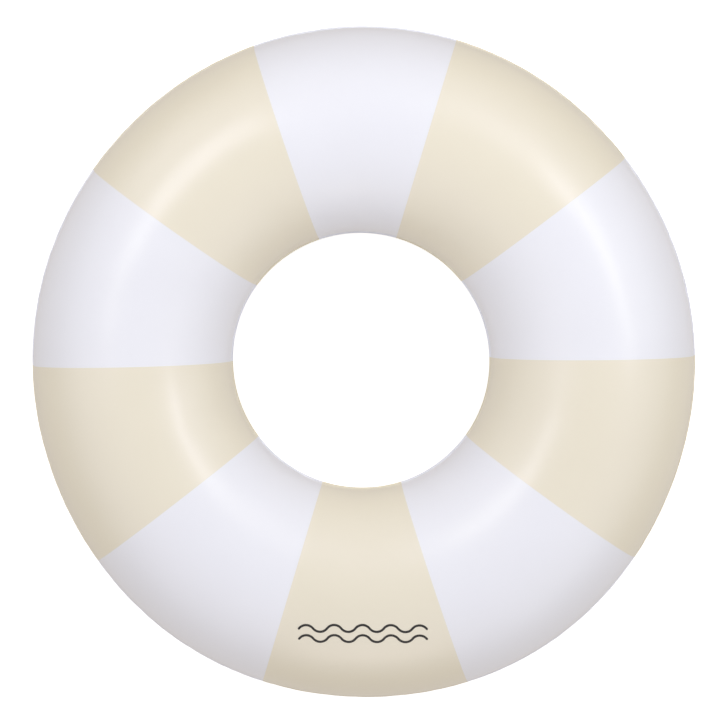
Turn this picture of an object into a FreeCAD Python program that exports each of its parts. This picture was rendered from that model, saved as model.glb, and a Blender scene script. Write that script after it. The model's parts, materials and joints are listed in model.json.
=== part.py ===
"""Inflatable swim ring: two printed PVC films welded into a tube, with a push-in inflation valve.

Millimetres and degrees. The origin is on the floor under the ring's centre, +Z is up and is the
ring's own axis. The printed mark is on the -Y side and the valve is low on the +Y side.
"""

import FreeCAD, Part
import math
import os

Vector = FreeCAD.Vector
UP = Vector(0, 0, 1)
ORIGIN = Vector(0, 0, 0)

# The ring, inflated.
OVERALL_DIAMETER = 900.0  # over the outer weld lip
HOLE_DIAMETER = 346.0  # inside the inner weld lip
LIP_WIDTH = 2.5  # weld lip, outwards from the tube wall
FILM = 0.3  # thickness of each film
REST_BAND = 16.0  # width of the flat that the tube lies on
PANELS = 10  # printed panels round the ring, white and sand in turn

# The valve, measured from the film's outer surface along the valve's own axis.
VALVE_DROP = 35.0  # degrees below the seam, round the tube
FLANGE_RADIUS = 19.0
FLANGE_THICKNESS = 0.8
SKIRT_RADIUS = 12.0
SKIRT_WALL = 0.8
SKIRT_DEPTH = 8.4
SKIRT_SHOULDER = 1.0  # depth at which the wall starts to lean in
SKIRT_LEAN = 1.6  # how far it leans in
SKIRT_TURN = 1.6  # size of the bevel between wall and floor
SKIRT_GAP = 0.1  # between the skirt's foot and the stem
FILM_HOLE_RADIUS = 12.2
STEM_RADIUS = 5.5
STEM_DEPTH = 15.0
STEM_TOP = 1.0
BORE_RADIUS = 3.5
RIM_RADIUS = 6.5
RIM_THICKNESS = 1.5
PLUG_RADIUS = 7.0
PLUG_THICKNESS = 1.8
PLUG_GAP = 0.05  # under the plug's head
PIN_LENGTH = 5.0
PIN_CLEARANCE = 0.1
TAB_RADIUS = 2.5
TAB_THICKNESS = 1.0
HINGE_REACH = 9.2  # from the valve's axis to the strap's hinge line
STRAP_WIDTH = 5.0
STRAP_THICKNESS = 0.8
STRAP_LOOP = 1.25  # outer radius of the strap's bend
STRAP_GAP = 0.1  # between the strap and the plug
FLAP_RADIUS = 4.8
FLAP_THICKNESS = 0.5
FLAP_GAP = 0.05
FLAP_HINGE_REACH = 5.2
FLAP_EAR_WIDTH = 3.0

# The printed mark: two wave lines, seen from above.
MARK_RADIUS = 349.0  # from the ring's axis to the mark's middle
MARK_LENGTH = 168.0
MARK_AZIMUTH = 270.0
MARK_HALF_WAVES = 9
MARK_HEIGHT = 4.5  # from a wave line's middle to its crest
MARK_STROKE = 3.0
MARK_PITCH = 13.5
INK = 0.1

# Worked out from the above.
TUBE_RADIUS = (OVERALL_DIAMETER - HOLE_DIAMETER) / 4 - LIP_WIDTH
RING_RADIUS = (OVERALL_DIAMETER + HOLE_DIAMETER) / 4
SEAM_HEIGHT = math.sqrt(TUBE_RADIUS**2 - (REST_BAND / 2) ** 2)
PANEL_ANGLE = 360.0 / PANELS
HINGE_HEIGHT = STEM_TOP + PLUG_GAP
VALVE_AZIMUTH = 90.0
VALVE_PANEL = int(VALVE_AZIMUTH // PANEL_ANGLE)
VALVE_SPAN = 10.0  # degrees of tube that the valve's pieces are cut from
VALVE_REACH = 2 * SKIRT_DEPTH  # long enough to cut right through film and flange
VALVE_FRAME = FreeCAD.Placement(
    Vector(
        0,
        RING_RADIUS + TUBE_RADIUS * math.cos(math.radians(VALVE_DROP)),
        SEAM_HEIGHT - TUBE_RADIUS * math.sin(math.radians(VALVE_DROP)),
    ),
    FreeCAD.Rotation(Vector(1, 0, 0), -90.0 - VALVE_DROP),
)


def in_profile(radius, height):
    """A point of a profile that is revolved about +Z."""
    return Vector(radius, 0, height)


def line(start, end):
    return Part.LineSegment(start, end).toShape()


def polyline(points):
    return [line(start, end) for start, end in zip(points, points[1:])]


def tube_arc(start, end):
    """An arc about the tube's centre line, in the profile plane."""
    centre = in_profile(RING_RADIUS, SEAM_HEIGHT)
    towards_middle = (start + end - centre * 2).normalize()
    middle = centre + towards_middle * (start - centre).Length
    return Part.Arc(start, middle, end).toShape()


def wall_surface(radius, rise, side):
    """Edges of one face of a film, from its outer end to its inner end.

    radius is the face's radius about the tube's centre line, rise how far from the seam plane it
    ends, and side is 1 for the upper film and -1 for the lower one.
    """
    reach = math.sqrt(radius**2 - rise**2)
    end_height = SEAM_HEIGHT + side * rise
    outer_end = in_profile(RING_RADIUS + reach, end_height)
    inner_end = in_profile(RING_RADIUS - reach, end_height)
    if side > 0:
        crown = in_profile(RING_RADIUS, SEAM_HEIGHT + radius)
        return [Part.Arc(outer_end, crown, inner_end).toShape()]
    flat_height = TUBE_RADIUS - radius
    half_flat = math.sqrt(radius**2 - (SEAM_HEIGHT - flat_height) ** 2)
    flat_outer = in_profile(RING_RADIUS + half_flat, flat_height)
    flat_inner = in_profile(RING_RADIUS - half_flat, flat_height)
    return [
        tube_arc(outer_end, flat_outer),
        line(flat_outer, flat_inner),
        tube_arc(flat_inner, inner_end),
    ]


def film_profile(side):
    """One film's section: half of the tube's wall, with its half of both weld lips."""
    outside = wall_surface(TUBE_RADIUS, FILM, side)
    inside = wall_surface(TUBE_RADIUS - FILM, 0, side)
    lip_height = SEAM_HEIGHT + side * FILM
    outer_lip = OVERALL_DIAMETER / 2
    inner_lip = HOLE_DIAMETER / 2
    wall_reach = math.sqrt(TUBE_RADIUS**2 - FILM**2)
    inside_reach = TUBE_RADIUS - FILM
    corners_out = [
        in_profile(RING_RADIUS + inside_reach, SEAM_HEIGHT),
        in_profile(outer_lip, SEAM_HEIGHT),
        in_profile(outer_lip, lip_height),
        in_profile(RING_RADIUS + wall_reach, lip_height),
    ]
    corners_in = [
        in_profile(RING_RADIUS - wall_reach, lip_height),
        in_profile(inner_lip, lip_height),
        in_profile(inner_lip, SEAM_HEIGHT),
        in_profile(RING_RADIUS - inside_reach, SEAM_HEIGHT),
    ]
    edges = polyline(corners_out) + outside + polyline(corners_in) + inside[::-1]
    return Part.Face(Part.Wire(edges))


def film_panel(index, side):
    """The stretch of one film that one printed colour covers."""
    panel = film_profile(side).revolve(ORIGIN, UP, PANEL_ANGLE)
    panel.rotate(ORIGIN, UP, index * PANEL_ANGLE)
    if side < 0 and index == VALVE_PANEL:
        panel = panel.cut(valve_cylinder(FILM_HOLE_RADIUS, -VALVE_REACH, VALVE_REACH))
    return panel


def tube_solid(radius, azimuth, span):
    """A stretch of a solid tube on the ring's centre line, with its middle at an azimuth."""
    centre = Vector(0, 0, SEAM_HEIGHT)
    tube = Part.makeTorus(RING_RADIUS, radius, centre, UP, 0, 360, span)
    tube.rotate(ORIGIN, UP, azimuth - span / 2)
    return tube


def placed_on_valve(shape):
    """A shape modelled along +Z with the film's surface at 0, moved to the valve's place."""
    return shape.transformShape(VALVE_FRAME.toMatrix(), True)


def cylinder(radius, low, high):
    return Part.makeCylinder(radius, high - low, Vector(0, 0, low))


def valve_cylinder(radius, low, high):
    return placed_on_valve(cylinder(radius, low, high))


def revolved(points):
    """A solid of revolution about +Z from the corners of its section, each (radius, height)."""
    corners = [in_profile(*point) for point in points]
    outline = Part.makePolygon(corners + corners[:1])
    return Part.Face(outline).revolve(ORIGIN, UP, 360)


def valve_flange():
    """The thin disc that is welded to the outside of the lower film."""
    outside = tube_solid(TUBE_RADIUS + FLANGE_THICKNESS, VALVE_AZIMUTH, VALVE_SPAN)
    plate = outside.cut(tube_solid(TUBE_RADIUS, VALVE_AZIMUTH, VALVE_SPAN))
    disc = valve_cylinder(FLANGE_RADIUS, -VALVE_REACH, VALVE_REACH)
    mouth = valve_cylinder(SKIRT_RADIUS - SKIRT_WALL, -VALVE_REACH, VALVE_REACH)
    return plate.common(disc).cut(mouth)


def valve_skirt():
    """The thin cup between flange and stem, which turns inside out as the valve is pulled out."""
    top = FLANGE_THICKNESS
    floor = -SKIRT_DEPTH
    foot = STEM_RADIUS + SKIRT_GAP
    lean_radius = SKIRT_RADIUS - SKIRT_LEAN
    mitre = SKIRT_WALL * math.tan(math.radians(22.5))
    outside = [
        (SKIRT_RADIUS, top),
        (SKIRT_RADIUS, -SKIRT_SHOULDER),
        (lean_radius, floor + SKIRT_TURN),
        (lean_radius - SKIRT_TURN, floor),
        (foot, floor),
    ]
    inside = [
        (foot, floor + SKIRT_WALL),
        (lean_radius - SKIRT_TURN - mitre, floor + SKIRT_WALL),
        (lean_radius - SKIRT_WALL, floor + SKIRT_TURN + mitre),
        (SKIRT_RADIUS - SKIRT_WALL, -SKIRT_SHOULDER),
        (SKIRT_RADIUS - SKIRT_WALL, top),
    ]
    cup = placed_on_valve(revolved(outside + inside))
    return cup.common(tube_solid(TUBE_RADIUS, VALVE_AZIMUTH, VALVE_SPAN))


def valve_stem():
    """The inflation tube, with the rim that the plug closes on."""
    barrel = cylinder(STEM_RADIUS, -STEM_DEPTH, STEM_TOP)
    rim = cylinder(RIM_RADIUS, STEM_TOP - RIM_THICKNESS, STEM_TOP)
    bore = cylinder(BORE_RADIUS, -STEM_DEPTH, STEM_TOP)
    return placed_on_valve(barrel.fuse(rim).cut(bore).removeSplitter())


def pin_radius(depth):
    """The pin's radius at a depth under the head.

    Its side is an arc about the strap's hinge line, so that it swings clear of the bore.
    """
    swing = HINGE_REACH + BORE_RADIUS
    return math.sqrt(swing**2 - depth**2) - HINGE_REACH - PIN_CLEARANCE


def valve_plug():
    """The plug: a head with a lifting tab, and the pin that fills the stem's mouth."""
    low = HINGE_HEIGHT
    high = low + PLUG_THICKNESS
    head = cylinder(PLUG_RADIUS, low, high)
    tab_foot = Vector(0, -PLUG_RADIUS, high - TAB_THICKNESS)
    tab = Part.makeCylinder(TAB_RADIUS, TAB_THICKNESS, tab_foot)
    depths = (0, PIN_LENGTH / 2, PIN_LENGTH)
    root, waist, tip = [in_profile(pin_radius(depth), low - depth) for depth in depths]
    side = Part.Arc(root, waist, tip).toShape()
    ends = polyline([tip, in_profile(0, tip.z), in_profile(0, root.z), root])
    pin = Part.Face(Part.Wire([side] + ends)).revolve(ORIGIN, UP, 360)
    return placed_on_valve(head.fuse([tab, pin]).removeSplitter())


def strap_layer(radius):
    """A solid U in plan: a bend about the hinge line, with both legs running to the valve's axis."""
    corner = Vector(-STRAP_WIDTH / 2, 0, HINGE_HEIGHT - radius)
    legs = Part.makeBox(STRAP_WIDTH, HINGE_REACH, 2 * radius, corner)
    hinge = Vector(-STRAP_WIDTH / 2, HINGE_REACH, HINGE_HEIGHT)
    bend = Part.makeCylinder(radius, STRAP_WIDTH, hinge, Vector(1, 0, 0))
    return legs.fuse(bend)


def plug_strap():
    """The short loop that ties the plug to the stem's rim and bends as the plug swings."""
    loop = strap_layer(STRAP_LOOP).cut(strap_layer(STRAP_LOOP - STRAP_THICKNESS))
    beside_rim = cylinder(RIM_RADIUS, STEM_TOP - RIM_THICKNESS, STEM_TOP)
    beside_plug = cylinder(PLUG_RADIUS + STRAP_GAP, STEM_TOP, HINGE_HEIGHT + PLUG_THICKNESS)
    return placed_on_valve(loop.cut([beside_rim, beside_plug]).removeSplitter())


def check_flap():
    """The flap that air pushes shut over the stem's inner end."""
    high = -STEM_DEPTH - FLAP_GAP
    low = high - FLAP_THICKNESS
    disc = cylinder(FLAP_RADIUS, low, high)
    corner = Vector(-FLAP_EAR_WIDTH / 2, 0, low)
    ear = Part.makeBox(FLAP_EAR_WIDTH, FLAP_HINGE_REACH, FLAP_THICKNESS, corner)
    return placed_on_valve(disc.fuse(ear).removeSplitter())


def wave_line(middle_y):
    """One wave line as an upright wall: arcs that bend up and down in turn, with round ends."""
    half_wave = MARK_LENGTH / MARK_HALF_WAVES
    radius = (half_wave**2 / 4 + MARK_HEIGHT**2) / (2 * MARK_HEIGHT)
    half_angle = math.degrees(math.asin(half_wave / 2 / radius))
    height = TUBE_RADIUS + INK
    strokes = []
    for index in range(MARK_HALF_WAVES):
        side = 1 if index % 2 == 0 else -1
        middle_x = (index + 0.5) * half_wave - MARK_LENGTH / 2
        centre = Vector(middle_x, middle_y - side * (radius - MARK_HEIGHT), SEAM_HEIGHT)
        outside = Part.makeCylinder(radius + MARK_STROKE / 2, height, centre, UP, 2 * half_angle)
        inside = Part.makeCylinder(radius - MARK_STROKE / 2, height, centre, UP, 2 * half_angle)
        stroke = outside.cut(inside)
        stroke.rotate(centre, UP, side * 90 - half_angle)
        strokes.append(stroke)
    for end_x in (-MARK_LENGTH / 2, MARK_LENGTH / 2):
        foot = Vector(end_x, middle_y, SEAM_HEIGHT)
        strokes.append(Part.makeCylinder(MARK_STROKE / 2, height, foot))
    return strokes[0].fuse(strokes[1:]).removeSplitter()


def wave_print():
    """The ink of both wave lines, as a thin layer on the upper film."""
    outside = tube_solid(TUBE_RADIUS + INK, MARK_AZIMUTH, PANEL_ANGLE)
    ink = outside.cut(tube_solid(TUBE_RADIUS, MARK_AZIMUTH, PANEL_ANGLE))
    middles = (-MARK_RADIUS + MARK_PITCH / 2, -MARK_RADIUS - MARK_PITCH / 2)
    lines = [wave_line(middle_y).common(ink) for middle_y in middles]
    return Part.makeCompound([shape.Solids[0] for shape in lines])


def all_parts():
    """Every piece by name."""
    parts = {}
    for side, film in ((1, "upper_film"), (-1, "lower_film")):
        for index in range(PANELS):
            colour = "sand" if index % 2 else "white"
            parts[f"{film}_{colour}_{index // 2 + 1}"] = film_panel(index, side)
    parts["valve_flange"] = valve_flange()
    parts["valve_skirt"] = valve_skirt()
    parts["valve_stem"] = valve_stem()
    parts["valve_plug"] = valve_plug()
    parts["plug_strap"] = plug_strap()
    parts["check_flap"] = check_flap()
    parts["wave_print"] = wave_print()
    return parts


os.makedirs("parts", exist_ok=True)
for name, shape in all_parts().items():
    shape.exportStep(f"parts/{name}.step")
    print(f"{name}: {len(shape.Solids)} solid, {shape.Volume:.1f} mm3")
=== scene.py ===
import json
import math

import bmesh
import bpy
import numpy as np
from mathutils import Matrix, Vector


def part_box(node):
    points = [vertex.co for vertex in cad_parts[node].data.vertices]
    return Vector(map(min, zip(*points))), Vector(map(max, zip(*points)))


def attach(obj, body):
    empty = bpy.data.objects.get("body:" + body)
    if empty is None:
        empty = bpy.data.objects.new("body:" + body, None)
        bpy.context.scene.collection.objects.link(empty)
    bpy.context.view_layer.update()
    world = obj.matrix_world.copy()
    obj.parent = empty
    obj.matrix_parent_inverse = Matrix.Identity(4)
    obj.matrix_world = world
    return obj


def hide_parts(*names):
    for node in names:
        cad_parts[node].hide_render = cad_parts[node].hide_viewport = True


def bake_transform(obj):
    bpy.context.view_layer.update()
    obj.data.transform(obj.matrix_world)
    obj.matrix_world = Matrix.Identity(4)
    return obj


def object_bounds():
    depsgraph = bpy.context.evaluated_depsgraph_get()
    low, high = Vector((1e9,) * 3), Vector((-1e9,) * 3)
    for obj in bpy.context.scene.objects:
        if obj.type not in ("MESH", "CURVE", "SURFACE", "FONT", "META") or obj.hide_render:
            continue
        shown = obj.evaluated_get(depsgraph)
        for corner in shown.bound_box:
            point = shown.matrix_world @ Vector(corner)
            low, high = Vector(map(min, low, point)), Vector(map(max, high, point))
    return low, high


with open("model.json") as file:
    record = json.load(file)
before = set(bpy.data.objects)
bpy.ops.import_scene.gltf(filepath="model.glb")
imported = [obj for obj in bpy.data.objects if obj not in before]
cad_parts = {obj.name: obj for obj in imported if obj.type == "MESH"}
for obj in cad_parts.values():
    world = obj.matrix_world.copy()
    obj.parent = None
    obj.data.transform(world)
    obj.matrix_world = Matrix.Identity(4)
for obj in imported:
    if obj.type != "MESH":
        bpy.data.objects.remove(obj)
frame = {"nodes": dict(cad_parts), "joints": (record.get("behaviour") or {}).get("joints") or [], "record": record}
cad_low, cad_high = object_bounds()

# Sizes are metres, in the CAD frame: +Z up, the printed mark towards -Y, the valve towards +Y.
MM = 0.001
MOUNTS = {mount["name"]: mount for mount in frame["record"]["mounts"]}
JOINTS = {joint["name"]: joint for joint in frame["joints"]}

# The ring's driving dimensions, read from the frame.
OUTER_RADIUS = cad_high.x
HOLE_RADIUS = MOUNTS["waist_opening"]["dims"]["r_mm"] * MM
SEAM_HEIGHT = MOUNTS["waist_opening"]["pos_m"][2]
LIP_WIDTH = 2.5 * MM
FILM = 0.3 * MM
TUBE_RADIUS = (OUTER_RADIUS - HOLE_RADIUS) / 2 - LIP_WIDTH
RING_RADIUS = (OUTER_RADIUS + HOLE_RADIUS) / 2
PANELS = sum(name.startswith("upper_film") for name in frame["nodes"])
PANEL_ANGLE = 2 * math.pi / PANELS

# The valve's own frame: z along its axis, y towards the strap, z = 0 on the film's outer surface.
STEM_TOP = 1.0 * MM
VALVE_OUT = Vector(JOINTS["valve_push"]["axis"])
VALVE_ACROSS = Vector((1, 0, 0))
VALVE_DOWN = VALVE_OUT.cross(VALVE_ACROSS)
VALVE_ORIGIN = Vector(MOUNTS["inflation_port"]["pos_m"]) - VALVE_OUT * STEM_TOP

# All random draws come from here, in one fixed order, so every run gives the same ring.
SEED = 36
rng = np.random.default_rng(SEED)


# ---------------------------------------------------------------------------------------------
# The inflated shape
# ---------------------------------------------------------------------------------------------

# A soft ring is never quite round: it is a little narrower across than it is deep, and the hole
# sits a little off its middle.
OUTER_NARROWING = 3.3 * MM
OUTER_SKEW = -0.7 * MM
OUTLINE_WAVES = (
    (3, 0.55 * MM, math.radians(-51)),
    (5, 0.8 * MM, math.radians(17)),
    (6, 0.4 * MM, 0.0),
)
HOLE_SHRINK = -2.1 * MM
HOLE_WIDENING = 0.5 * MM
HOLE_SKEW = -0.6 * MM
HOLE_SHIFT = (-3.3 * MM, 4.6 * MM)

# The print runs a little off the ring's even tenths: (waves round the ring, angle, azimuth).
PRINT_DRIFTS = (
    (1, math.radians(0.91), math.radians(46)),
    (2, math.radians(0.5), math.radians(45)),
)

# Slow swells of the tube wall: (height, waves round the ring, waves round the tube, phase).
SWELLS = (
    (0.35 * MM, 7, 1, 0.4),
    (0.30 * MM, 11, 2, 1.9),
    (0.22 * MM, 16, 3, 4.1),
    (0.15 * MM, 23, 4, 2.7),
)

# Puckers: the outer weld gathers the film into short creases, from the least to the most of each
# size. The biases raise an even draw to a power, so that most creases are shallow and short.
CREASES = 124
CREASE_SPACING = (0.55, 1.45)
CREASE_DEPTH = (0.5 * MM, 2.4 * MM)
CREASE_DEPTH_BIAS = 1.6
CREASE_LENGTH = (12 * MM, 44 * MM)
CREASE_LENGTH_BIAS = 1.4
CREASE_WIDTH = (3.2 * MM, 6.0 * MM)
CREASE_SLANT = 0.16
CREASE_SPREAD = 0.7
CREASE_SHARPNESS = 1.5
CREASE_START = 5 * MM
CREASE_AT_WELD = 0.15

# The welds flutter up and down: (waves round the ring, share of the height, phase). The inner
# weld flutters less than the outer one, and a lip's free edge more than its root.
LIP_WAVE = 0.5 * MM
LIP_WAVES = ((31, 0.4, 0.3), (53, 0.35, 2.2), (89, 0.25, 5.0))
LIP_UNEVEN_WAVES = 5
LIP_UNEVENNESS = 0.8
LIP_INNER_SHARE = 0.35
LIP_EDGE_GAIN = 0.8
SEAM_REACH = 12 * MM

# Around the valve the film keeps the tube's plain shape, out to CALM_RADIUS and fading past it.
CALM_RADIUS = 34 * MM
CALM_EDGE = 30 * MM


def smooth(x):
    """0 below 0 and 1 above 1, with a soft step between."""
    x = np.clip(x, 0.0, 1.0)
    return x * x * (3 - 2 * x)


def wrapped(angle):
    """The same angle between -pi and pi."""
    return (angle + math.pi) % (2 * math.pi) - math.pi


def crease_table():
    """Azimuth, depth, and for each film the length, width and slant of every crease."""
    spacing = rng.uniform(*CREASE_SPACING, CREASES)
    azimuth = np.cumsum(spacing) / spacing.sum() * 2 * math.pi
    strength = rng.random(CREASES) ** CREASE_DEPTH_BIAS
    depth = CREASE_DEPTH[0] + (CREASE_DEPTH[1] - CREASE_DEPTH[0]) * strength
    films = {}
    for side in (1, -1):
        reach = rng.random(CREASES) ** CREASE_LENGTH_BIAS
        films[side] = {
            "length": CREASE_LENGTH[0] + (CREASE_LENGTH[1] - CREASE_LENGTH[0]) * reach,
            "width": rng.uniform(*CREASE_WIDTH, CREASES),
            "slant": rng.normal(0, CREASE_SLANT, CREASES),
        }
    return azimuth, depth, films


CREASE_AZIMUTH, CREASE_DEPTHS, CREASE_FILMS = crease_table()


def crease_pull(azimuth, distance, side):
    """How far the creases pull the film in, at a distance from the outer seam along the wall."""
    pull = np.zeros(np.broadcast(azimuth, distance).shape)
    film = CREASE_FILMS[side]
    held = CREASE_AT_WELD + (1 - CREASE_AT_WELD) * smooth(distance / CREASE_START)
    for index in range(CREASES):
        length = film["length"][index]
        fade = (1 - smooth(distance / length)) * held
        drift = film["slant"][index] * distance / OUTER_RADIUS
        width = film["width"][index] * (1 + CREASE_SPREAD * distance / length)
        across = wrapped(azimuth - CREASE_AZIMUTH[index] - drift) * OUTER_RADIUS / width
        pull += CREASE_DEPTHS[index] * fade * np.exp(-np.abs(across) ** CREASE_SHARPNESS)
    return pull


def lip_wave(azimuth):
    """Height of the weld's flutter round the ring."""
    wave = np.zeros_like(azimuth)
    for count, share, phase in LIP_WAVES:
        uneven = LIP_UNEVENNESS * np.sin(LIP_UNEVEN_WAVES * azimuth)
        wave = wave + share * np.sin(count * azimuth + phase + uneven)
    return LIP_WAVE * wave


def drifted(azimuth):
    """Where the print at an even azimuth really lies."""
    moved = azimuth
    for waves, angle, most in PRINT_DRIFTS:
        moved = moved + angle * np.cos(waves * (azimuth - most))
    return moved


def calm_near_valve(points):
    """0 around the valve, where the flange holds the film to its shape, and 1 elsewhere."""
    gap = np.linalg.norm(points - np.array(VALVE_ORIGIN), axis=-1)
    return smooth((gap - CALM_RADIUS) / CALM_EDGE)


def inflated(azimuth, reach, rise, normal_out, normal_up, side):
    """Points of the inflated film.

    reach and rise place a point against the tube's centre line (outwards and up), and the normal
    is the wall's there. All are arrays of one shape.
    """
    azimuth = drifted(azimuth)
    tube_angle = np.arctan2(np.abs(rise), reach)
    distance = np.maximum(tube_angle, 0) * TUBE_RADIUS
    from_inside = (math.pi - tube_angle) * TUBE_RADIUS
    outer_share = (1 + np.cos(tube_angle)) / 2
    inner_share = 1 - outer_share
    wall = np.clip((distance + from_inside) / (math.pi * TUBE_RADIUS), 0, 1)

    plain_radius = RING_RADIUS + reach
    plain = np.stack(
        (
            plain_radius * np.cos(azimuth),
            plain_radius * np.sin(azimuth),
            SEAM_HEIGHT + rise,
        ),
        axis=-1,
    )
    calm = calm_near_valve(plain)

    swell = np.zeros_like(plain_radius)
    for height, round_ring, round_tube, phase in SWELLS:
        turn = round_ring * azimuth + side * round_tube * tube_angle + phase
        swell += height * np.sin(turn) * np.sin(tube_angle) ** 2
    push = calm * (swell - crease_pull(azimuth, distance, side)) * wall

    outline = -OUTER_NARROWING * (1 + np.cos(2 * azimuth)) + OUTER_SKEW * np.sin(2 * azimuth)
    for waves, most, where in OUTLINE_WAVES:
        outline = outline + most * np.cos(waves * (azimuth - where))
    out_of_round = outline * outer_share
    hole = (
        HOLE_SHRINK + HOLE_WIDENING * np.cos(2 * azimuth) + HOLE_SKEW * np.sin(2 * azimuth)
    ) * inner_share
    radius = plain_radius + calm * (out_of_round + hole) + push * normal_out

    near_seam = np.exp(-distance / SEAM_REACH)
    near_seam = near_seam + LIP_INNER_SHARE * np.exp(-from_inside / SEAM_REACH)
    flutter = 1 + LIP_EDGE_GAIN * np.clip((np.abs(reach) - TUBE_RADIUS) / LIP_WIDTH, 0, 1)
    height = SEAM_HEIGHT + rise + push * normal_up + lip_wave(azimuth) * near_seam * flutter
    x = radius * np.cos(azimuth) + HOLE_SHIFT[0] * inner_share * calm
    y = radius * np.sin(azimuth) + HOLE_SHIFT[1] * inner_share * calm
    return np.stack((x, y, height), axis=-1)


# ---------------------------------------------------------------------------------------------
# Mesh helpers
# ---------------------------------------------------------------------------------------------


SHARP_ANGLE = math.radians(40)


def new_mesh(name, vertices, faces, material):
    """A smooth-shaded mesh object, with edges sharper than SHARP_ANGLE kept sharp."""
    mesh = bpy.data.meshes.new(name)
    mesh.from_pydata([tuple(v) for v in vertices], [], [tuple(f) for f in faces])
    mesh.validate()
    mesh.shade_smooth()
    mesh.set_sharp_from_angle(angle=SHARP_ANGLE)
    mesh.materials.append(material)
    piece = bpy.data.objects.new(name, mesh)
    bpy.context.scene.collection.objects.link(piece)
    return piece


def turned_outwards(piece):
    """Makes every face's normal point out of the closed piece."""
    shape = bmesh.new()
    shape.from_mesh(piece.data)
    bmesh.ops.recalc_face_normals(shape, faces=shape.faces)
    shape.to_mesh(piece.data)
    shape.free()
    return piece


def grid_faces(rows, columns, close_rows=False, close_columns=False):
    """Quads of a rows by columns grid of vertices, numbered row by row."""
    faces = []
    for row in range(rows if close_rows else rows - 1):
        next_row = (row + 1) % rows
        for column in range(columns if close_columns else columns - 1):
            next_column = (column + 1) % columns
            faces.append(
                (
                    row * columns + column,
                    row * columns + next_column,
                    next_row * columns + next_column,
                    next_row * columns + column,
                )
            )
    return faces


# ---------------------------------------------------------------------------------------------
# Materials
# ---------------------------------------------------------------------------------------------


class Shader:
    """A material's node tree, with short ways to add and join nodes."""

    def __init__(self, name):
        """A new material with its surface shader."""
        self.material = bpy.data.materials.new(name)
        self.material.use_nodes = True
        self.tree = self.material.node_tree
        self.surface = self.tree.nodes["Principled BSDF"]

    def add(self, kind, inputs=None, **settings):
        """A new node; each input is a plain value or another node's output."""
        node = self.tree.nodes.new(kind)
        for key, value in settings.items():
            setattr(node, key, value)
        for key, value in (inputs or {}).items():
            if isinstance(value, bpy.types.NodeSocket):
                self.tree.links.new(value, node.inputs[key])
            else:
                node.inputs[key].default_value = value
        return node

    def set(self, **values):
        """Sets the surface shader's own sockets: spaces in a socket's name are underscores."""
        for key, value in values.items():
            socket = self.surface.inputs[key.replace("_", " ")]
            if isinstance(value, bpy.types.NodeSocket):
                self.tree.links.new(value, socket)
            else:
                socket.default_value = value


def noise(shader, position, scale, detail=2.0):
    """Cloudy values from 0 to 1, scale of them to a metre."""
    node = shader.add(
        "ShaderNodeTexNoise", {"Vector": position, "Scale": scale, "Detail": detail}
    )
    return node.outputs["Fac"]


def ranged(shader, value, low, high):
    """value, from 0..1 to low..high."""
    node = shader.add("ShaderNodeMapRange", {"Value": value, "To Min": low, "To Max": high})
    return node.outputs["Result"]


def film_material(name, light, dark, gloss, gloss_tint):
    """Printed PVC film: an even ink under a soft gloss, with a faint orange-peel."""
    shader = Shader(name)
    place = shader.add("ShaderNodeTexCoord").outputs["Object"]
    mottle = shader.add("ShaderNodeValToRGB", {"Fac": noise(shader, place, 9.0, detail=4.0)})
    mottle.color_ramp.elements[0].color = (*dark, 1)
    mottle.color_ramp.elements[1].color = (*light, 1)
    smears = ranged(shader, noise(shader, place, 14.0, detail=5.0), 0.29, 0.35)
    peel = noise(shader, place, 420.0, detail=1.0)
    ripple = noise(shader, place, 60.0, detail=2.0)
    fine = shader.add("ShaderNodeBump", {"Strength": 0.12, "Distance": 0.0001, "Height": peel})
    broad = shader.add(
        "ShaderNodeBump",
        {"Strength": 0.2, "Distance": 0.0006, "Height": ripple, "Normal": fine.outputs["Normal"]},
    )
    shader.set(
        Base_Color=mottle.outputs["Color"],
        Roughness=smears,
        Normal=broad.outputs["Normal"],
        IOR=1.5,
        Specular_IOR_Level=gloss,
        Specular_Tint=(*gloss_tint, 1),
    )
    return shader.material


def valve_material(name, colour, clearness):
    """Soft, milky, half-clear PVC."""
    shader = Shader(name)
    place = shader.add("ShaderNodeTexCoord").outputs["Object"]
    cloud = ranged(shader, noise(shader, place, 260.0, detail=3.0), 0.17, 0.24)
    grain = shader.add(
        "ShaderNodeBump",
        {"Strength": 0.15, "Distance": 0.0001, "Height": noise(shader, place, 1400.0)},
    )
    shader.set(
        Base_Color=(*colour, 1),
        Roughness=cloud,
        Transmission_Weight=clearness,
        IOR=1.52,
        Normal=grain.outputs["Normal"],
    )
    return shader.material


def ink_material(name):
    """Screen-printed ink: near black, a little rough, with a faint mottle."""
    shader = Shader(name)
    place = shader.add("ShaderNodeTexCoord").outputs["Object"]
    mottle = noise(shader, place, 700.0, detail=3.0)
    ramp = shader.add("ShaderNodeValToRGB", {"Fac": mottle})
    ramp.color_ramp.elements[0].color = (0.012, 0.011, 0.010, 1)
    ramp.color_ramp.elements[1].color = (0.030, 0.028, 0.026, 1)
    bump = shader.add("ShaderNodeBump", {"Strength": 0.1, "Distance": 0.0001, "Height": mottle})
    shader.set(
        Base_Color=ramp.outputs["Color"],
        Roughness=ranged(shader, mottle, 0.38, 0.5),
        Normal=bump.outputs["Normal"],
    )
    return shader.material


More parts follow.
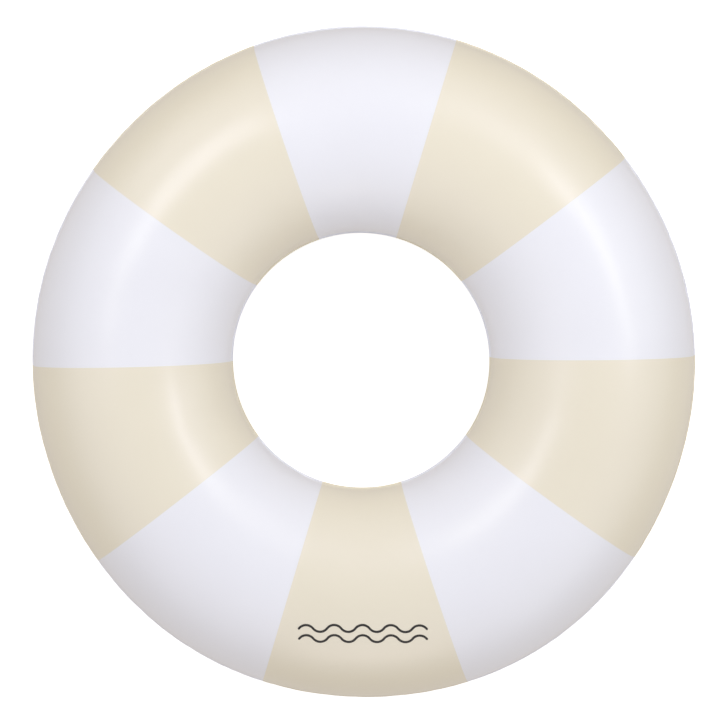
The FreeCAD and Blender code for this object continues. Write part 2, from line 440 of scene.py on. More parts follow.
SAND_FILM = film_material(
    "printed_sand_film",
    light=(0.822, 0.774, 0.630),
    dark=(0.792, 0.743, 0.599),
    gloss=0.8,
    gloss_tint=(0.75, 0.77, 1.0),
)
WHITE_FILM = film_material(
    "printed_white_film",
    light=(0.822, 0.835, 0.887),
    dark=(0.798, 0.81, 0.867),
    gloss=0.44,
    gloss_tint=(1.0, 1.0, 0.8),
)
SOFT_PVC = valve_material("soft_valve_pvc", (0.93, 0.95, 0.955), 0.45)
FLAP_FILM = valve_material("clear_flap_film", (0.94, 0.96, 0.965), 0.6)
PRINT_INK = ink_material("print_ink")


# ---------------------------------------------------------------------------------------------
# The films
# ---------------------------------------------------------------------------------------------

PANEL_COLUMNS = 132
FILLET = 0.9 * MM
FILLET_STEPS = 4

# Rows across a weld lip, as shares of its width, and the edge's height as a share of the film.
LIP_ROWS = (1.0, 0.96, 0.7, 0.45)
LIP_EDGE_HEIGHT = 0.7

# Rows across the wall: each seam's finest row, and how fast the rows widen away from it.
FINEST_ROW = 1.3 * MM
ROW_GROWTH = 0.085
FINEST_INNER_ROW = 2.2 * MM
INNER_ROW_GROWTH = 0.12
COARSEST_ROW = 12 * MM

VALVE_HOLE_RADIUS = 12.2 * MM
VALVE_HOLE_COLUMNS = 96
VALVE_HOLE_DEPTH = 40 * MM


def wall_distances():
    """Rows across the wall, from the outer seam to the inner one, fine near both seams."""
    length = math.pi * TUBE_RADIUS
    first = FILM + FILLET
    distances = [first]
    while distances[-1] < length - first:
        done = distances[-1]
        left = length - first - done
        outer_step = FINEST_ROW + ROW_GROWTH * done
        inner_step = FINEST_INNER_ROW + INNER_ROW_GROWTH * left
        distances.append(done + min(outer_step, inner_step, COARSEST_ROW))
    scale = (length - 2 * first) / (distances[-1] - first)
    return [first + (distance - first) * scale for distance in distances]


def film_section():
    """Rows of one film's section, from the outer lip's edge to the inner lip's edge.

    Each row is the outer face's point, the inner face's point and the wall's normal, all
    (outwards, up) from the tube's centre line, for the upper film.
    """
    outer_lip = []
    for share in LIP_ROWS:
        reach = TUBE_RADIUS + LIP_WIDTH * share
        top = FILM if share < 1 else FILM * LIP_EDGE_HEIGHT
        outer_lip.append(((reach, top), (reach, 0.0), (1.0, 0.0)))
    for step in range(FILLET_STEPS + 1):
        turn = math.radians(90) * step / FILLET_STEPS
        outside = (
            TUBE_RADIUS + FILLET * (1 - math.sin(turn)),
            FILM + FILLET * (1 - math.cos(turn)),
        )
        inside = (TUBE_RADIUS + FILLET * (1 - math.sin(turn)) - FILM * step / FILLET_STEPS, 0.0)
        outer_lip.append((outside, inside, (1.0, 0.0)))
    wall = []
    for distance in wall_distances()[1:-1]:
        angle = distance / TUBE_RADIUS
        normal = (math.cos(angle), math.sin(angle))
        outside = tuple(TUBE_RADIUS * n for n in normal)
        inside = tuple((TUBE_RADIUS - FILM) * n for n in normal)
        wall.append((outside, inside, normal))
    inner_lip = [
        ((-outside[0], outside[1]), (-inside[0], inside[1]), (-1.0, 0.0))
        for outside, inside, normal in reversed(outer_lip)
    ]
    return outer_lip + wall + inner_lip


SECTION = film_section()


def film_panel(name, index, side, material):
    """One printed panel of one film, as a closed thin shell with its half of both weld lips."""
    azimuth = (index + np.linspace(0, 1, PANEL_COLUMNS + 1)) * PANEL_ANGLE
    rows = [(outside, normal) for outside, inside, normal in SECTION]
    rows += [(inside, normal) for outside, inside, normal in reversed(SECTION)]
    place = np.array([point for point, normal in rows])
    normal = np.array([normal for point, normal in rows])
    shape = (len(rows), len(azimuth))
    grid = inflated(
        np.broadcast_to(azimuth, shape),
        np.broadcast_to(place[:, :1], shape),
        np.broadcast_to(side * place[:, 1:], shape),
        np.broadcast_to(normal[:, :1], shape),
        np.broadcast_to(side * normal[:, 1:], shape),
        side,
    )
    # The tube lies on the floor along a narrow flat; the inner face stays a film's thickness up.
    half = len(SECTION)
    grid[:half, :, 2] = np.maximum(grid[:half, :, 2], 0)
    grid[half:, :, 2] = np.maximum(grid[half:, :, 2], FILM)
    faces = grid_faces(len(rows), len(azimuth), close_rows=True)
    last = len(rows) - 1
    for column in (0, len(azimuth) - 1):
        for row in range(half - 1):
            corners = (row, row + 1, last - row - 1, last - row)
            ends = [corner * len(azimuth) + column for corner in corners]
            faces.append(ends if column else ends[::-1])
    piece = new_mesh(name, grid.reshape(-1, 3), faces, material)
    return turned_outwards(piece)


def cut_valve_hole(piece):
    """Cuts the round hole for the valve's cup through a film."""
    cutter_mesh = bpy.data.meshes.new("valve_hole")
    shape = bmesh.new()
    bmesh.ops.create_cone(
        shape,
        cap_ends=True,
        segments=VALVE_HOLE_COLUMNS,
        radius1=VALVE_HOLE_RADIUS,
        radius2=VALVE_HOLE_RADIUS,
        depth=VALVE_HOLE_DEPTH,
    )
    shape.to_mesh(cutter_mesh)
    shape.free()
    cutter = bpy.data.objects.new("valve_hole", cutter_mesh)
    bpy.context.scene.collection.objects.link(cutter)
    cutter.matrix_world = valve_matrix()
    cut = piece.modifiers.new("valve_hole", "BOOLEAN")
    cut.operation = "DIFFERENCE"
    cut.solver = "EXACT"
    cut.object = cutter
    apply_modifiers(piece)
    bpy.data.objects.remove(cutter)
    piece.data.shade_smooth()
    piece.data.set_sharp_from_angle(angle=SHARP_ANGLE)


def valve_matrix():
    """From the valve's own frame to the row frame."""
    turn = Matrix((VALVE_ACROSS, VALVE_DOWN, VALVE_OUT)).transposed()
    return Matrix.Translation(VALVE_ORIGIN) @ turn.to_4x4()


def apply_modifiers(piece):
    """Makes the piece's mesh what its modifiers show."""
    bpy.context.view_layer.update()
    seen = piece.evaluated_get(bpy.context.evaluated_depsgraph_get())
    mesh = bpy.data.meshes.new_from_object(seen)
    piece.modifiers.clear()
    old = piece.data
    piece.data = mesh
    bpy.data.meshes.remove(old)


def make_films():
    """Both films' panels, in turn white and sand, with the valve's hole in the one it sits on."""
    for side, film in ((1, "upper_film"), (-1, "lower_film")):
        for index in range(PANELS):
            colour = "sand" if index % 2 else "white"
            node = f"{film}_{colour}_{index // 2 + 1}"
            material = SAND_FILM if index % 2 else WHITE_FILM
            piece = film_panel(f"inflated_{node}", index, side, material)
            if holds_valve(index, side):
                cut_valve_hole(piece)
            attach(piece, "ring")
            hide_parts(node)


def holds_valve(index, side):
    """Whether the valve sits on this panel."""
    valve_azimuth = math.atan2(VALVE_ORIGIN.y, VALVE_ORIGIN.x)
    return side < 0 and index == int(valve_azimuth // PANEL_ANGLE)


make_films()


# ---------------------------------------------------------------------------------------------
# The printed mark
# ---------------------------------------------------------------------------------------------

MARK_LENGTH = 168 * MM
MARK_RADIUS = 349 * MM
MARK_HALF_WAVES = 9
MARK_HEIGHT = 4.5 * MM
MARK_STROKE = 3.0 * MM
MARK_PITCH = 13.5 * MM
MARK_STEPS = 14

# The ink's section: (share of the stroke's half width, height over the film).
INK_LOW = 0.02 * MM
INK_HIGH = 0.10 * MM
INK_SECTION = (
    (-1, INK_LOW),
    (-1, INK_HIGH),
    (-0.34, INK_HIGH),
    (0.34, INK_HIGH),
    (1, INK_HIGH),
    (1, INK_LOW),
    (0, INK_LOW),
)
CAP_TURNS = (72, 48, 24)


def wave_middle():
    """Points and directions along one wave line: arcs that bend up and down in turn."""
    half_wave = MARK_LENGTH / MARK_HALF_WAVES
    radius = (half_wave**2 / 4 + MARK_HEIGHT**2) / (2 * MARK_HEIGHT)
    half_angle = math.asin(half_wave / 2 / radius)
    points = []
    for index in range(MARK_HALF_WAVES):
        side = 1 if index % 2 == 0 else -1
        middle = (index + 0.5) * half_wave - MARK_LENGTH / 2
        last = index == MARK_HALF_WAVES - 1
        for step in range(MARK_STEPS + last):
            angle = half_angle * (2 * step / MARK_STEPS - 1)
            x = middle + radius * math.sin(angle)
            y = side * (radius * math.cos(angle) - radius + MARK_HEIGHT)
            points.append((x, y, math.cos(angle), -side * math.sin(angle)))
    return points


def on_film(x, y, lift):
    """A point of the upper film above a plan position, raised by lift."""
    reach_plan = math.hypot(x, y) - RING_RADIUS
    angle = math.acos(reach_plan / TUBE_RADIUS)
    normal = (math.cos(angle), math.sin(angle))
    radius = TUBE_RADIUS + lift
    values = (math.atan2(y, x), radius * normal[0], radius * normal[1], *normal)
    arrays = [np.array([value]) for value in values]
    return inflated(*arrays, 1)[0]


def wave_line(middle_y):
    """Vertices and faces of one printed line: a thin closed ribbon with round ends."""
    points = wave_middle()
    start, end = points[0], points[-1]
    caps = []
    for x, y, dx, dy, way in ((*start, -1), (*end, 1)):
        cap = []
        for turn in CAP_TURNS:
            out = math.sin(math.radians(turn)) * MARK_STROKE / 2 * way
            cap.append((x + dx * out, y + dy * out, dx, dy, math.cos(math.radians(turn))))
        caps.append(cap)
    full = caps[0] + [(*point, 1.0) for point in points] + caps[1][::-1]
    vertices = []
    for x, y, dx, dy, width in full:
        for share, lift in INK_SECTION:
            off = share * width * MARK_STROKE / 2
            vertices.append(on_film(x - dy * off, middle_y + y + dx * off, lift))
    around = len(INK_SECTION)
    faces = grid_faces(len(full), around, close_columns=True)
    faces.append(tuple(range(around)))
    faces.append(tuple(range((len(full) - 1) * around, len(full) * around))[::-1])
    return vertices, faces


def make_mark():
    """Two plain wave lines, one above the other, as one piece."""
    vertices, faces = [], []
    for side in (1, -1):
        line_vertices, line_faces = wave_line(-MARK_RADIUS + side * MARK_PITCH / 2)
        first = len(vertices)
        vertices += line_vertices
        faces += [tuple(first + corner for corner in face) for face in line_faces]
    mark = turned_outwards(new_mesh("printed_wave_lines", vertices, faces, PRINT_INK))
    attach(mark, "ring")
    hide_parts("wave_print")


make_mark()


# ---------------------------------------------------------------------------------------------
# The valve
# ---------------------------------------------------------------------------------------------

ROUND_COLUMNS = 120
FLANGE_COLUMNS = 360
FINE_SPACING = 0.5 * MM

# The flange: the weld's band has teeth, and WELD_BED is the pressed share between two teeth.
FLANGE_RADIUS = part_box("valve_flange")[1].x
FLANGE_THICKNESS = 0.8 * MM
FLANGE_FOOT = 0.05 * MM
WELD_BAND = (13.6 * MM, 17.6 * MM)
WELD_BAND_EDGE = 0.5 * MM
WELD_DEPTH = 0.28 * MM
WELD_TEETH = 72
WELD_BED = 0.35

# The cup: it narrows by CUP_LEAN over its depth and turns inwards at 45 degrees over CUP_TURN.
CUP_RADIUS = 12.0 * MM
CUP_WALL = 0.8 * MM
CUP_DEPTH = 8.4 * MM
CUP_SHOULDER = 1.0 * MM
CUP_LEAN = 1.6 * MM
CUP_TURN = 1.6 * MM
CUP_SHOULDER_BEND = 0.8 * MM
CUP_OUTER_BEND = 1.2 * MM
CUP_INNER_BEND = 0.6 * MM
CUP_FOOT_BEND = 0.2 * MM
CUP_OVERLAP = 0.15 * MM
CONFORM_DEPTH = 3.0 * MM

# The stem, with the rim that the plug closes on.
STEM_RADIUS = 5.5 * MM
STEM_DEPTH = 15.0 * MM
STEM_SPACING = 1.5 * MM
BORE_RADIUS = MOUNTS["inflation_port"]["dims"]["r_mm"] * MM
RIM_RADIUS = 6.5 * MM
RIM_THICKNESS = 1.5 * MM

# The plug: a head with a slight dome, a lifting tab with ribs, and the pin. PIN_FILLET joins the
# pin to the head: (out from the pin's side, down from the head).
PLUG_RADIUS = 7.0 * MM
PLUG_THICKNESS = 1.8 * MM
PLUG_STEP = 0.15 * MM
PLUG_ROUNDING = 0.3 * MM
PLUG_CHAMFER = 0.1 * MM
PLUG_DOME = 0.22 * MM
PLUG_MIDDLE_ROWS = (0.12, 0.3, 0.5, 0.7, 0.85, 0.95)
PLUG_EDGE_ROWS = 18
PIN_LENGTH = 5.0 * MM
PIN_CLEARANCE = 0.1 * MM
PIN_FILLET = ((0.25 * MM, 0.0), (0.05 * MM, 0.06 * MM))
PIN_START = 0.3 * MM
PIN_ROWS = 8
PIN_TIP = 0.5 * MM
TAB_RADIUS = 2.5 * MM
TAB_THICKNESS = 1.0 * MM
TAB_RIBS = (7.9 * MM, 8.5 * MM, 9.1 * MM)
TAB_RIB_WIDTH = 0.16 * MM
TAB_RIB_HEIGHT = 0.14 * MM

# The strap, folded about the hinge line: two straight legs and a round bend.
HINGE_REACH = 9.2 * MM
HINGE_HEIGHT = 1.05 * MM
STRAP_WIDTH = 5.0 * MM
STRAP_THICKNESS = 0.6 * MM
STRAP_EDGE = 0.15 * MM
STRAP_SPACING = 0.6 * MM
STRAP_BEND = 0.4 * MM
STRAP_NECK = 0.7
STRAP_LEG = 3.25 * MM
STRAP_LEG_ROWS = 11
STRAP_BEND_ROWS = 13
STRAP_SLOPE = math.radians(13.5)

# The check flap, a dished disc with an ear at its hinge.
FLAP_RADIUS = 4.8 * MM
FLAP_THICKNESS = 0.5 * MM
FLAP_GAP = 0.05 * MM
FLAP_HINGE_REACH = 5.2 * MM
FLAP_EAR = 1.5 * MM
FLAP_EAR_ANGLE = math.radians(60)
FLAP_EDGE = 0.12 * MM
FLAP_DISH = 0.25 * MM
FLAP_DISH_SHARE = 0.8
FLAP_ROWS = (0.1, 0.35, 0.6, 0.8, 0.93, 1.0)

SAG_PASSES = 8
TINY = 1e-6


def rounded(corners, closed=True, spacing=1.0 * MM, steps=4):
    """A profile's points from its corners, with the corners rounded and long runs divided.

    Each corner is (radius, height, rounding).
    """
    count = len(corners)
    places = [np.array(corner[:2]) for corner in corners]
    points = []
    for index, (place, corner) in enumerate(zip(places, corners)):
        inner = 0 < index < count - 1
        if corner[2] == 0 or not (closed or inner):
            arc = [place]
        else:
            back = places[index - 1] - place
            on = places[(index + 1) % count] - place
            back /= np.linalg.norm(back)
            on /= np.linalg.norm(on)
            half = math.acos(np.clip(back @ on, -1, 1)) / 2
            inset = corner[2] / math.tan(half)
            centre = place + (back + on) / np.linalg.norm(back + on) * corner[2] / math.sin(half)
            first = place + back * inset - centre
            last = place + on * inset - centre
            arc = []
            for step in range(steps + 1):
                share = step / steps
                spoke = first * (1 - share) + last * share
                arc.append(centre + spoke / np.linalg.norm(spoke) * corner[2])
        points.append(arc)
    path = []
    for index, arc in enumerate(points):
        path += arc
        if index == count - 1 and not closed:
            break
        onward = points[(index + 1) % count][0]
        gap = np.linalg.norm(onward - arc[-1])
        parts = max(1, math.ceil(gap / spacing))
        path += [arc[-1] + (onward - arc[-1]) * part / parts for part in range(1, parts)]
    return path


def sag(x, y):
    """Height of the tube's wall above the valve's own flat base, at a place of that base."""
    height = np.zeros_like(x)
    origin = np.array(VALVE_ORIGIN)
    across, down, out = (np.array(v) for v in (VALVE_ACROSS, VALVE_DOWN, VALVE_OUT))
    for _ in range(SAG_PASSES):
        place = origin + x[..., None] * across + y[..., None] * down + height[..., None] * out
        reach = np.hypot(place[..., 0], place[..., 1]) - RING_RADIUS
        height = height - (np.hypot(reach, place[..., 2] - SEAM_HEIGHT) - TUBE_RADIUS)
    return height


def valve_piece(name, rings, material, capped, body=None, node=None):
    """A closed piece from rings of points in the valve's frame, each an array of (x, y, height).

    Without caps the last ring joins the first one, as in a tube's wall.
    """
    rings = np.array(rings)
    rows, columns = rings.shape[:2]
    faces = grid_faces(rows, columns, close_rows=not capped, close_columns=True)
    vertices = rings.reshape(-1, 3)
    if capped:
        middles = [rings[0].mean(axis=0), rings[-1].mean(axis=0)]
        vertices = np.vstack([vertices, middles])
        for first, middle in ((0, rows * columns), ((rows - 1) * columns, rows * columns + 1)):
            for column in range(columns):
                onward = (column + 1) % columns
                faces.append((first + column, first + onward, middle))
    place = valve_matrix()
    points = [place @ Vector(vertex) for vertex in vertices]
    piece = turned_outwards(new_mesh(name, points, faces, material))
    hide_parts(node)
    if body:
        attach(piece, body)
    return piece


def turns(columns):
    """Even angles round a full turn."""
    return np.linspace(0, 2 * math.pi, columns, endpoint=False)


def turned(profile, columns=ROUND_COLUMNS):
    """Rings of a round piece from the points of its profile."""
    angles = turns(columns)
    return [
        np.stack((r * np.cos(angles), r * np.sin(angles), np.full(columns, h)), axis=-1)
        for r, h in profile
    ]


def make_flange():
    """The disc welded over the film, with the tooth pattern that the welding tool leaves."""
    mouth = CUP_RADIUS - CUP_WALL
    corners = [
        (mouth, 0, 0),
        (mouth, FLANGE_THICKNESS, 0.3 * MM),
        (FLANGE_RADIUS, FLANGE_THICKNESS, 0.35 * MM),
        (FLANGE_RADIUS, FLANGE_FOOT, 0),
        (FLANGE_RADIUS, 0, 0),
    ]
    profile = rounded(corners, spacing=FINE_SPACING)
    teeth = 0.5 + 0.5 * np.sin(WELD_TEETH * turns(FLANGE_COLUMNS))
    pressed = WELD_DEPTH * (WELD_BED + (1 - WELD_BED) * teeth)
    rings = turned(profile, FLANGE_COLUMNS)
    for ring, (radius, height) in zip(rings, profile):
        if height > FLANGE_THICKNESS / 2:
            inner_edge = smooth((radius - WELD_BAND[0]) / WELD_BAND_EDGE)
            outer_edge = smooth((WELD_BAND[1] - radius) / WELD_BAND_EDGE)
            ring[:, 2] -= inner_edge * outer_edge * pressed
        ring[:, 2] += sag(ring[:, 0], ring[:, 1])
    valve_piece("welded_flange", rings, SOFT_PVC, False, "ring", "valve_flange")


def make_cup():
    """The thin cup between flange and stem, which turns inside out as the valve is pulled out."""
    floor = -CUP_DEPTH
    foot = STEM_RADIUS - CUP_OVERLAP
    low_radius = CUP_RADIUS - CUP_LEAN
    mitre = CUP_WALL * math.tan(math.radians(45) / 2)
    corners = [
        (CUP_RADIUS, 0, 0),
        (CUP_RADIUS, -CUP_SHOULDER, CUP_SHOULDER_BEND),
        (low_radius, floor + CUP_TURN, CUP_OUTER_BEND),
        (low_radius - CUP_TURN, floor, CUP_OUTER_BEND),
        (foot, floor, 0),
        (foot, floor + CUP_WALL, CUP_FOOT_BEND),
        (low_radius - CUP_TURN - mitre, floor + CUP_WALL, CUP_INNER_BEND),
        (low_radius - CUP_WALL, floor + CUP_TURN + mitre, CUP_INNER_BEND),
        (CUP_RADIUS - CUP_WALL, -CUP_SHOULDER, CUP_SHOULDER_BEND),
        (CUP_RADIUS - CUP_WALL, 0, 0),
    ]
    rings = turned(rounded(corners, spacing=FINE_SPACING))
    for ring in rings:
        near_film = smooth(1 + ring[:, 2] / CONFORM_DEPTH)
        ring[:, 2] += near_film * sag(ring[:, 0], ring[:, 1])
    cup = valve_piece("valve_cup", rings, SOFT_PVC, False, node="valve_skirt")
    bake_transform(cup)


def make_stem():
    """The inflation tube, with a rounded rim that the plug closes on."""
    rim_low = STEM_TOP - RIM_THICKNESS
    corners = [
        (BORE_RADIUS, -STEM_DEPTH, 0.25 * MM),
        (STEM_RADIUS, -STEM_DEPTH, 0.3 * MM),
        (STEM_RADIUS, rim_low, 0.25 * MM),
        (RIM_RADIUS, rim_low, 0.35 * MM),
        (RIM_RADIUS, STEM_TOP, 0.45 * MM),
        (BORE_RADIUS, STEM_TOP, 0.3 * MM),
    ]
    rings = turned(rounded(corners, spacing=STEM_SPACING))
    valve_piece("valve_tube", rings, SOFT_PVC, False, "valve_stem", "valve_stem")


def tab_reach(angles):
    """How far the plug's head reaches: a circle with a round tab opposite the strap."""
    off = np.abs(wrapped(angles + math.pi / 2))
    inside = TAB_RADIUS**2 - (PLUG_RADIUS * np.sin(off)) ** 2
    on_tab = (inside > 0) & (off < math.pi / 2)
    tab = PLUG_RADIUS * np.cos(off) + np.sqrt(np.maximum(inside, 0))
    return np.where(on_tab, np.maximum(tab, PLUG_RADIUS), PLUG_RADIUS)


def pin_radius(depth):
    """The pin's side: an arc about the strap's hinge line, so that it swings clear of the bore."""
    swing = HINGE_REACH + BORE_RADIUS
    return math.sqrt(swing**2 - depth**2) - HINGE_REACH - PIN_CLEARANCE


def make_plug():
    """The plug: a domed head with a ribbed lifting tab, and the pin that fills the stem's mouth.

    Its rings run from the middle of the top over the edge and the tab's underside to the pin's tip.
    """
    low, high = HINGE_HEIGHT, HINGE_HEIGHT + PLUG_THICKNESS
    angles = turns(2 * ROUND_COLUMNS)
    reach = tab_reach(angles)
    tab_low = high - TAB_THICKNESS
    under_rounding = PLUG_ROUNDING / 2
    rings = []

    def add(radius, height):
        """Adds a ring; both sizes are one value or one for each angle."""
        radius = np.broadcast_to(radius, angles.shape)
        height = np.broadcast_to(height, angles.shape)
        rings.append(
            np.stack((radius * np.cos(angles), radius * np.sin(angles), height), axis=-1)
        )

    def top_height(radius):
        """The top's height, with its dome and the tab's ribs."""
        along_tab = -radius * np.sin(angles)
        ribs = sum(np.exp(-(((along_tab - place) / TAB_RIB_WIDTH) ** 2)) for place in TAB_RIBS)
        return high - PLUG_DOME * smooth(radius / PLUG_RADIUS) + TAB_RIB_HEIGHT * ribs

    inner_edge = PLUG_RADIUS - 2 * PLUG_ROUNDING
    outer_edge = reach - PLUG_ROUNDING
    for share in PLUG_MIDDLE_ROWS:
        add(inner_edge * share, top_height(inner_edge * share))
    for share in np.linspace(0, 1, PLUG_EDGE_ROWS):
        radius = inner_edge + (outer_edge - inner_edge) * share
        add(radius, top_height(radius))
    edge_height = top_height(outer_edge)
    for turn in np.radians((30, 60, 90)):
        inset = PLUG_ROUNDING * (1 - math.sin(turn))
        add(reach - inset, edge_height - PLUG_ROUNDING * (1 - math.cos(turn)))
    for turn in np.radians((0, 45, 90)):
        inset = under_rounding * (1 - math.cos(turn))
        add(reach - inset, tab_low + under_rounding * (1 - math.sin(turn)))
    neck = PLUG_RADIUS - PLUG_STEP - under_rounding
    for share in (0.5, 1.0):
        add((reach - under_rounding) * (1 - share) + neck * share, tab_low)
    add(neck, low + PLUG_ROUNDING)
    add(neck - PLUG_CHAMFER, low + PLUG_CHAMFER)
    add(neck - PLUG_ROUNDING, low)
    for beyond, below in PIN_FILLET:
        add(pin_radius(0) + beyond, low - below)
    for depth in np.linspace(PIN_START, PIN_LENGTH - PIN_TIP, PIN_ROWS):
        add(pin_radius(depth), low - depth)
    tip = pin_radius(PIN_LENGTH - PIN_TIP) - PIN_TIP
    for turn in np.radians((30, 60, 90)):
        add(tip + PIN_TIP * math.cos(turn), low - PIN_LENGTH + PIN_TIP * (1 - math.sin(turn)))
    add(tip / 2, low - PIN_LENGTH)
    valve_piece("stopper", rings, SOFT_PVC, True, "valve_plug", "valve_plug")


def make_strap():
    """The folded band that ties the plug to the stem's rim and opens flat as the plug swings."""
    bend_start = (STRAP_BEND * math.sin(STRAP_SLOPE), -STRAP_BEND * math.cos(STRAP_SLOPE))
    path = []
    for share in np.linspace(0, 1, STRAP_LEG_ROWS + 1)[:-1]:
        left = STRAP_LEG * (1 - share)
        y = bend_start[0] - left * math.cos(STRAP_SLOPE)
        h = bend_start[1] - left * math.sin(STRAP_SLOPE)
        path.append((y, h, STRAP_SLOPE))
    for turn in np.linspace(STRAP_SLOPE, math.pi / 2, STRAP_BEND_ROWS):
        path.append((STRAP_BEND * math.sin(turn), -STRAP_BEND * math.cos(turn), turn))
    path += [(y, -h, math.pi - turn) for y, h, turn in reversed(path[:-1])]
    half_width = STRAP_WIDTH / 2
    rings = []
    for y, h, turn in path:
        neck = STRAP_NECK + (1 - STRAP_NECK) * smooth(math.hypot(y, h) / STRAP_LEG)
        half = STRAP_THICKNESS / 2 * neck
        corners = [
            (half_width, half, STRAP_EDGE),
            (-half_width, half, STRAP_EDGE),
            (-half_width, -half, STRAP_EDGE),
            (half_width, -half, STRAP_EDGE),
        ]
        ring = []
        for x, off in rounded(corners, spacing=STRAP_SPACING):
            reach = HINGE_REACH + y + off * math.sin(turn)
            ring.append((x, reach, HINGE_HEIGHT + h - off * math.cos(turn)))
        rings.append(ring)
    strap = valve_piece("strap_loop", rings, SOFT_PVC, True, node="plug_strap")
    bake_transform(strap)


def make_flap():
    """The flap that air pushes shut over the stem's inner end: a dished disc with a hinge ear."""
    angles = turns(ROUND_COLUMNS)
    off = np.abs(wrapped(angles - math.pi / 2))
    ear_side = FLAP_EAR / np.maximum(np.sin(off), TINY)
    ear = np.minimum(ear_side, FLAP_HINGE_REACH / np.cos(off))
    reach = np.where(off < FLAP_EAR_ANGLE, np.maximum(ear, FLAP_RADIUS), FLAP_RADIUS)
    middle = -STEM_DEPTH - FLAP_GAP - FLAP_THICKNESS / 2
    top = [(share, 1) for share in FLAP_ROWS]
    bottom = [(share, -1) for share in reversed(FLAP_ROWS)]
    rings = []
    for share, side in top + bottom:
        half = FLAP_THICKNESS / 2
        radius = (reach - FLAP_EDGE) * share
        if share == 1:
            half -= FLAP_EDGE
            radius = reach
        sunk = FLAP_DISH * (1 - smooth(share / FLAP_DISH_SHARE))
        height = np.full(angles.shape, middle + side * half - sunk)
        rings.append(np.stack((radius * np.cos(angles), radius * np.sin(angles), height), axis=-1))
    valve_piece("one_way_flap", rings, FLAP_FILM, True, "check_flap", "check_flap")


make_flange()
make_cup()
make_stem()
make_plug()
make_strap()
make_flap()


# ---------------------------------------------------------------------------------------------
# Floor, light and camera
# ---------------------------------------------------------------------------------------------

BACKDROP_RADIUS = 9.0
BACKDROP_COLUMNS = 64
DOME_TOP = math.radians(88)
DOME_ROWS = 16
FLOOR_DROP = 0.5 * MM
FLOOR_GLOW = 0.62

# The studio's glow by height, from straight below (0) to straight above (1).
GLOW = (
    (0.15, (0.646, 0.601, 0.572)),
    (0.41, (0.493, 0.433, 0.329)),
    (0.59, (0.690, 0.669, 0.673)),
    (0.79, (0.885, 0.850, 0.905)),
    (0.90, (0.720, 0.705, 0.730)),
    (1.00, (0.400, 0.410, 0.390)),
)

DAYLIGHT = (1.0, 1.0, 1.0)
WARM = (1.0, 0.84, 0.6)
COOL = (0.78, 0.9, 1.0)

# Softboxes: name, azimuth and tilt from overhead (degrees), width and height (m), power (W) and
# colour.
SOFTBOXES = (
    ("left_strip", 146, 31, 1.1, 0.36, 7.4, DAYLIGHT),
    ("left_outer_strip", 130, 41.5, 1.0, 0.36, 3.8, DAYLIGHT),
    ("right_strip", 20, 43, 1.2, 0.36, 7.8, DAYLIGHT),
    ("upper_right_fill", 50, 45, 1.6, 1.2, 5.6, DAYLIGHT),
    ("front_edge", 270, 68, 0.9, 0.7, 2.6, WARM),
    ("back_left_edge", 135, 68, 0.7, 0.7, 1.0, DAYLIGHT),
    ("right_edge", 14, 68, 0.8, 0.7, 1.3, COOL),
    ("front_right_edge", 310, 68, 0.7, 0.7, 0.9, COOL),
)
SOFTBOX_DISTANCE = 2.4


def make_backdrop():
    """A plain white floor and dome, which only the camera sees: they neither light nor shade."""
    floor_paint = Shader("white_floor")
    floor_paint.set(
        Base_Color=(0.9, 0.9, 0.9, 1),
        Roughness=0.8,
        Emission_Color=(1, 1, 1, 1),
        Emission_Strength=FLOOR_GLOW,
    )
    dome_paint = Shader("white_dome")
    dome_paint.set(
        Base_Color=(0, 0, 0, 1),
        Roughness=1.0,
        Emission_Color=(1, 1, 1, 1),
        Emission_Strength=1.0,
    )
    dome_points = []
    for height in np.linspace(0, DOME_TOP, DOME_ROWS):
        for azimuth in turns(BACKDROP_COLUMNS):
            out = BACKDROP_RADIUS * math.cos(height)
            rise = BACKDROP_RADIUS * math.sin(height)
            dome_points.append((out * math.cos(azimuth), out * math.sin(azimuth), rise))
    dome_faces = grid_faces(DOME_ROWS, BACKDROP_COLUMNS, close_columns=True)
    dome_faces.append(tuple(range(len(dome_points) - BACKDROP_COLUMNS, len(dome_points))))
    floor_points = dome_points[:BACKDROP_COLUMNS]
    dome = new_mesh("dome", dome_points, dome_faces, dome_paint.material)
    floor = new_mesh("floor", floor_points, [tuple(range(BACKDROP_COLUMNS))], floor_paint.material)
    for piece in (floor, dome):
        piece.location.z = -FLOOR_DROP
        piece.visible_diffuse = False
        piece.visible_glossy = False
        piece.visible_transmission = False
        piece.visible_shadow = False


def make_world():
    """The even glow all round the ring, which changes with height."""
    world = bpy.data.worlds.new("studio")
    bpy.context.scene.world = world
    world.use_nodes = True
    tree = world.node_tree
    background = tree.nodes["Background"]
    place = tree.nodes.new("ShaderNodeTexCoord")
    split = tree.nodes.new("ShaderNodeSeparateXYZ")
    remap = tree.nodes.new("ShaderNodeMapRange")
    remap.inputs["From Min"].default_value = -1
    ramp = tree.nodes.new("ShaderNodeValToRGB")
    tree.links.new(place.outputs["Generated"], split.inputs["Vector"])
    tree.links.new(split.outputs["Z"], remap.inputs["Value"])
    tree.links.new(remap.outputs["Result"], ramp.inputs["Fac"])
    tree.links.new(ramp.outputs["Color"], background.inputs["Color"])
    stops = ramp.color_ramp.elements
    for index, (position, colour) in enumerate(GLOW):
        stop = stops[index] if index < 2 else stops.new(position)
        stop.position = position
        stop.color = (*colour, 1)


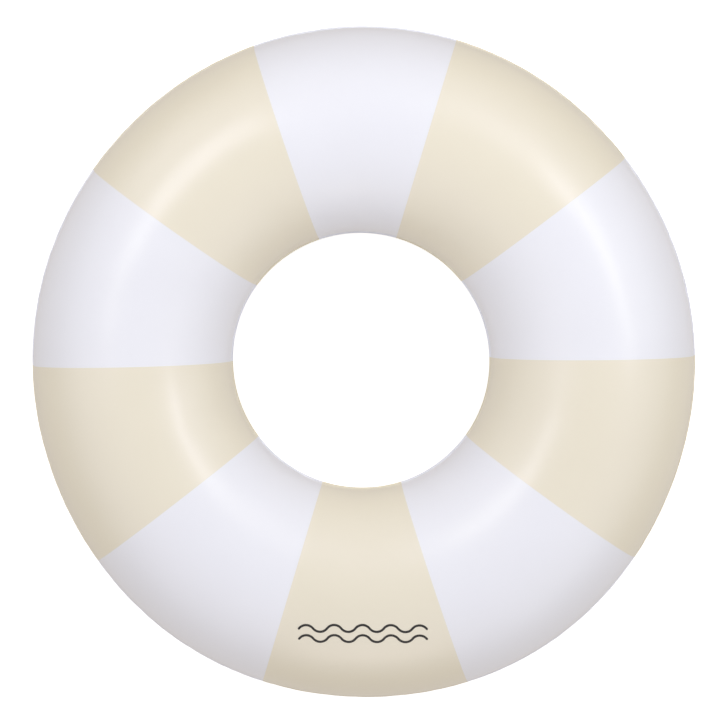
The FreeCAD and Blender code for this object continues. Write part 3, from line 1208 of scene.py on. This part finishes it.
def make_softbox(name, azimuth, tilt, width, height, power, colour):
    """A soft light aimed at the ring; width runs round the ring, height up and down."""
    data = bpy.data.lights.new(name, "AREA")
    data.shape = "RECTANGLE"
    data.size = width
    data.size_y = height
    data.energy = power
    data.color = colour
    lamp = bpy.data.objects.new(name, data)
    bpy.context.scene.collection.objects.link(lamp)
    azimuth, tilt = math.radians(azimuth), math.radians(tilt)
    towards = Vector(
        (math.sin(tilt) * math.cos(azimuth), math.sin(tilt) * math.sin(azimuth), math.cos(tilt))
    )
    lamp.location = Vector((0, 0, SEAM_HEIGHT)) + towards * SOFTBOX_DISTANCE
    lamp.rotation_mode = "QUATERNION"
    lamp.rotation_quaternion = towards.to_track_quat("Z", "Y")


# The camera looks almost straight down; its angles are degrees. PICTURE_WIDTH (m) is what it sees
# at the ring's seam, and AIM (m) is the middle of the picture there.
CAMERA_DISTANCE = 4.0
CAMERA_LEAN = 2.3
CAMERA_SIDE_LEAN = 0.8
CAMERA_ROLL = 0.9
PICTURE_WIDTH = 0.964
AIM = (-0.0048, 0.0052)
SENSOR_WIDTH_MM = 36
CLIP_END = 50


def make_camera():
    """The camera over the ring, turned a little off square."""
    data = bpy.data.cameras.new("camera")
    camera = bpy.data.objects.new("camera", data)
    bpy.context.scene.collection.objects.link(camera)
    data.sensor_width = SENSOR_WIDTH_MM
    data.lens = data.sensor_width * CAMERA_DISTANCE / PICTURE_WIDTH
    lean = math.radians(CAMERA_LEAN)
    back = Vector((math.sin(math.radians(CAMERA_SIDE_LEAN)), math.sin(lean), math.cos(lean)))
    back.normalize()
    target = Vector((AIM[0], AIM[1], SEAM_HEIGHT))
    camera.location = target + back * CAMERA_DISTANCE
    across = Vector((0, 1, 0)).cross(back).normalized()
    up = back.cross(across)
    turn = Matrix((across, up, back)).transposed()
    roll = Matrix.Rotation(math.radians(-CAMERA_ROLL), 3, "Z")
    camera.rotation_mode = "QUATERNION"
    camera.rotation_quaternion = (turn @ roll).to_quaternion()
    data.clip_end = CLIP_END
    bpy.context.scene.camera = camera


make_backdrop()
make_world()
for softbox in SOFTBOXES:
    make_softbox(*softbox)
make_camera()
bpy.context.scene.view_settings.view_transform = "Standard"
